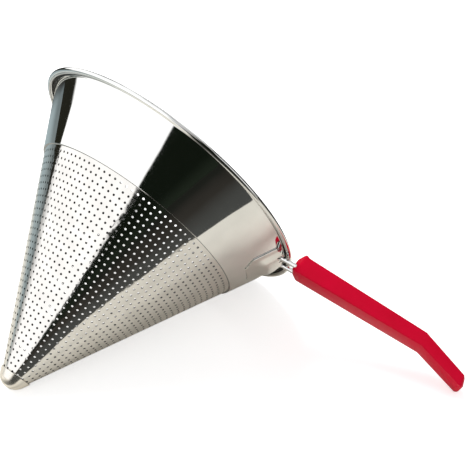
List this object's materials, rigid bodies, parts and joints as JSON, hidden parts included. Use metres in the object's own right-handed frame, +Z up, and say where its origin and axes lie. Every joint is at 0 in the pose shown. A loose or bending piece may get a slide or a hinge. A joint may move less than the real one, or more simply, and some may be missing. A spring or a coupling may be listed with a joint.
{
  "type": "chinois strainer",
  "caption": "Conical strainer of polished steel: a plain band under a rolled rim, a finely perforated cone with a domed nose, and a bent wire handle in a red moulded sleeve.",
  "frame": {"origin": "the point of the table under the nose, where the nose cap rests as the strainer lies on its side", "axes": "+Z up from the table; +Y the way the cup's axis heads over the table, from nose to mouth; +X to the side on which the handle stands out"},
  "size_m": [0.3133, 0.1974, 0.1745],
  "materials": {
    "band_steel": "mirror polished",
    "ring_steel": "drawn wire",
    "cone_steel": "polished, perforated",
    "cap_steel": "polished",
    "bracket_steel": "polished",
    "wire_steel": "polished wire",
    "sleeve_plastic": "smooth, semi-gloss"
  },
  "bodies": {
    "root": {"collar": "band_steel", "rim_wire": "ring_steel", "perforated_cone": "cone_steel", "nose_cap": "cap_steel", "handle_bracket": "bracket_steel", "handle_wire": "wire_steel", "handle_sleeve": "sleeve_plastic"}
  },
  "joints": []
}
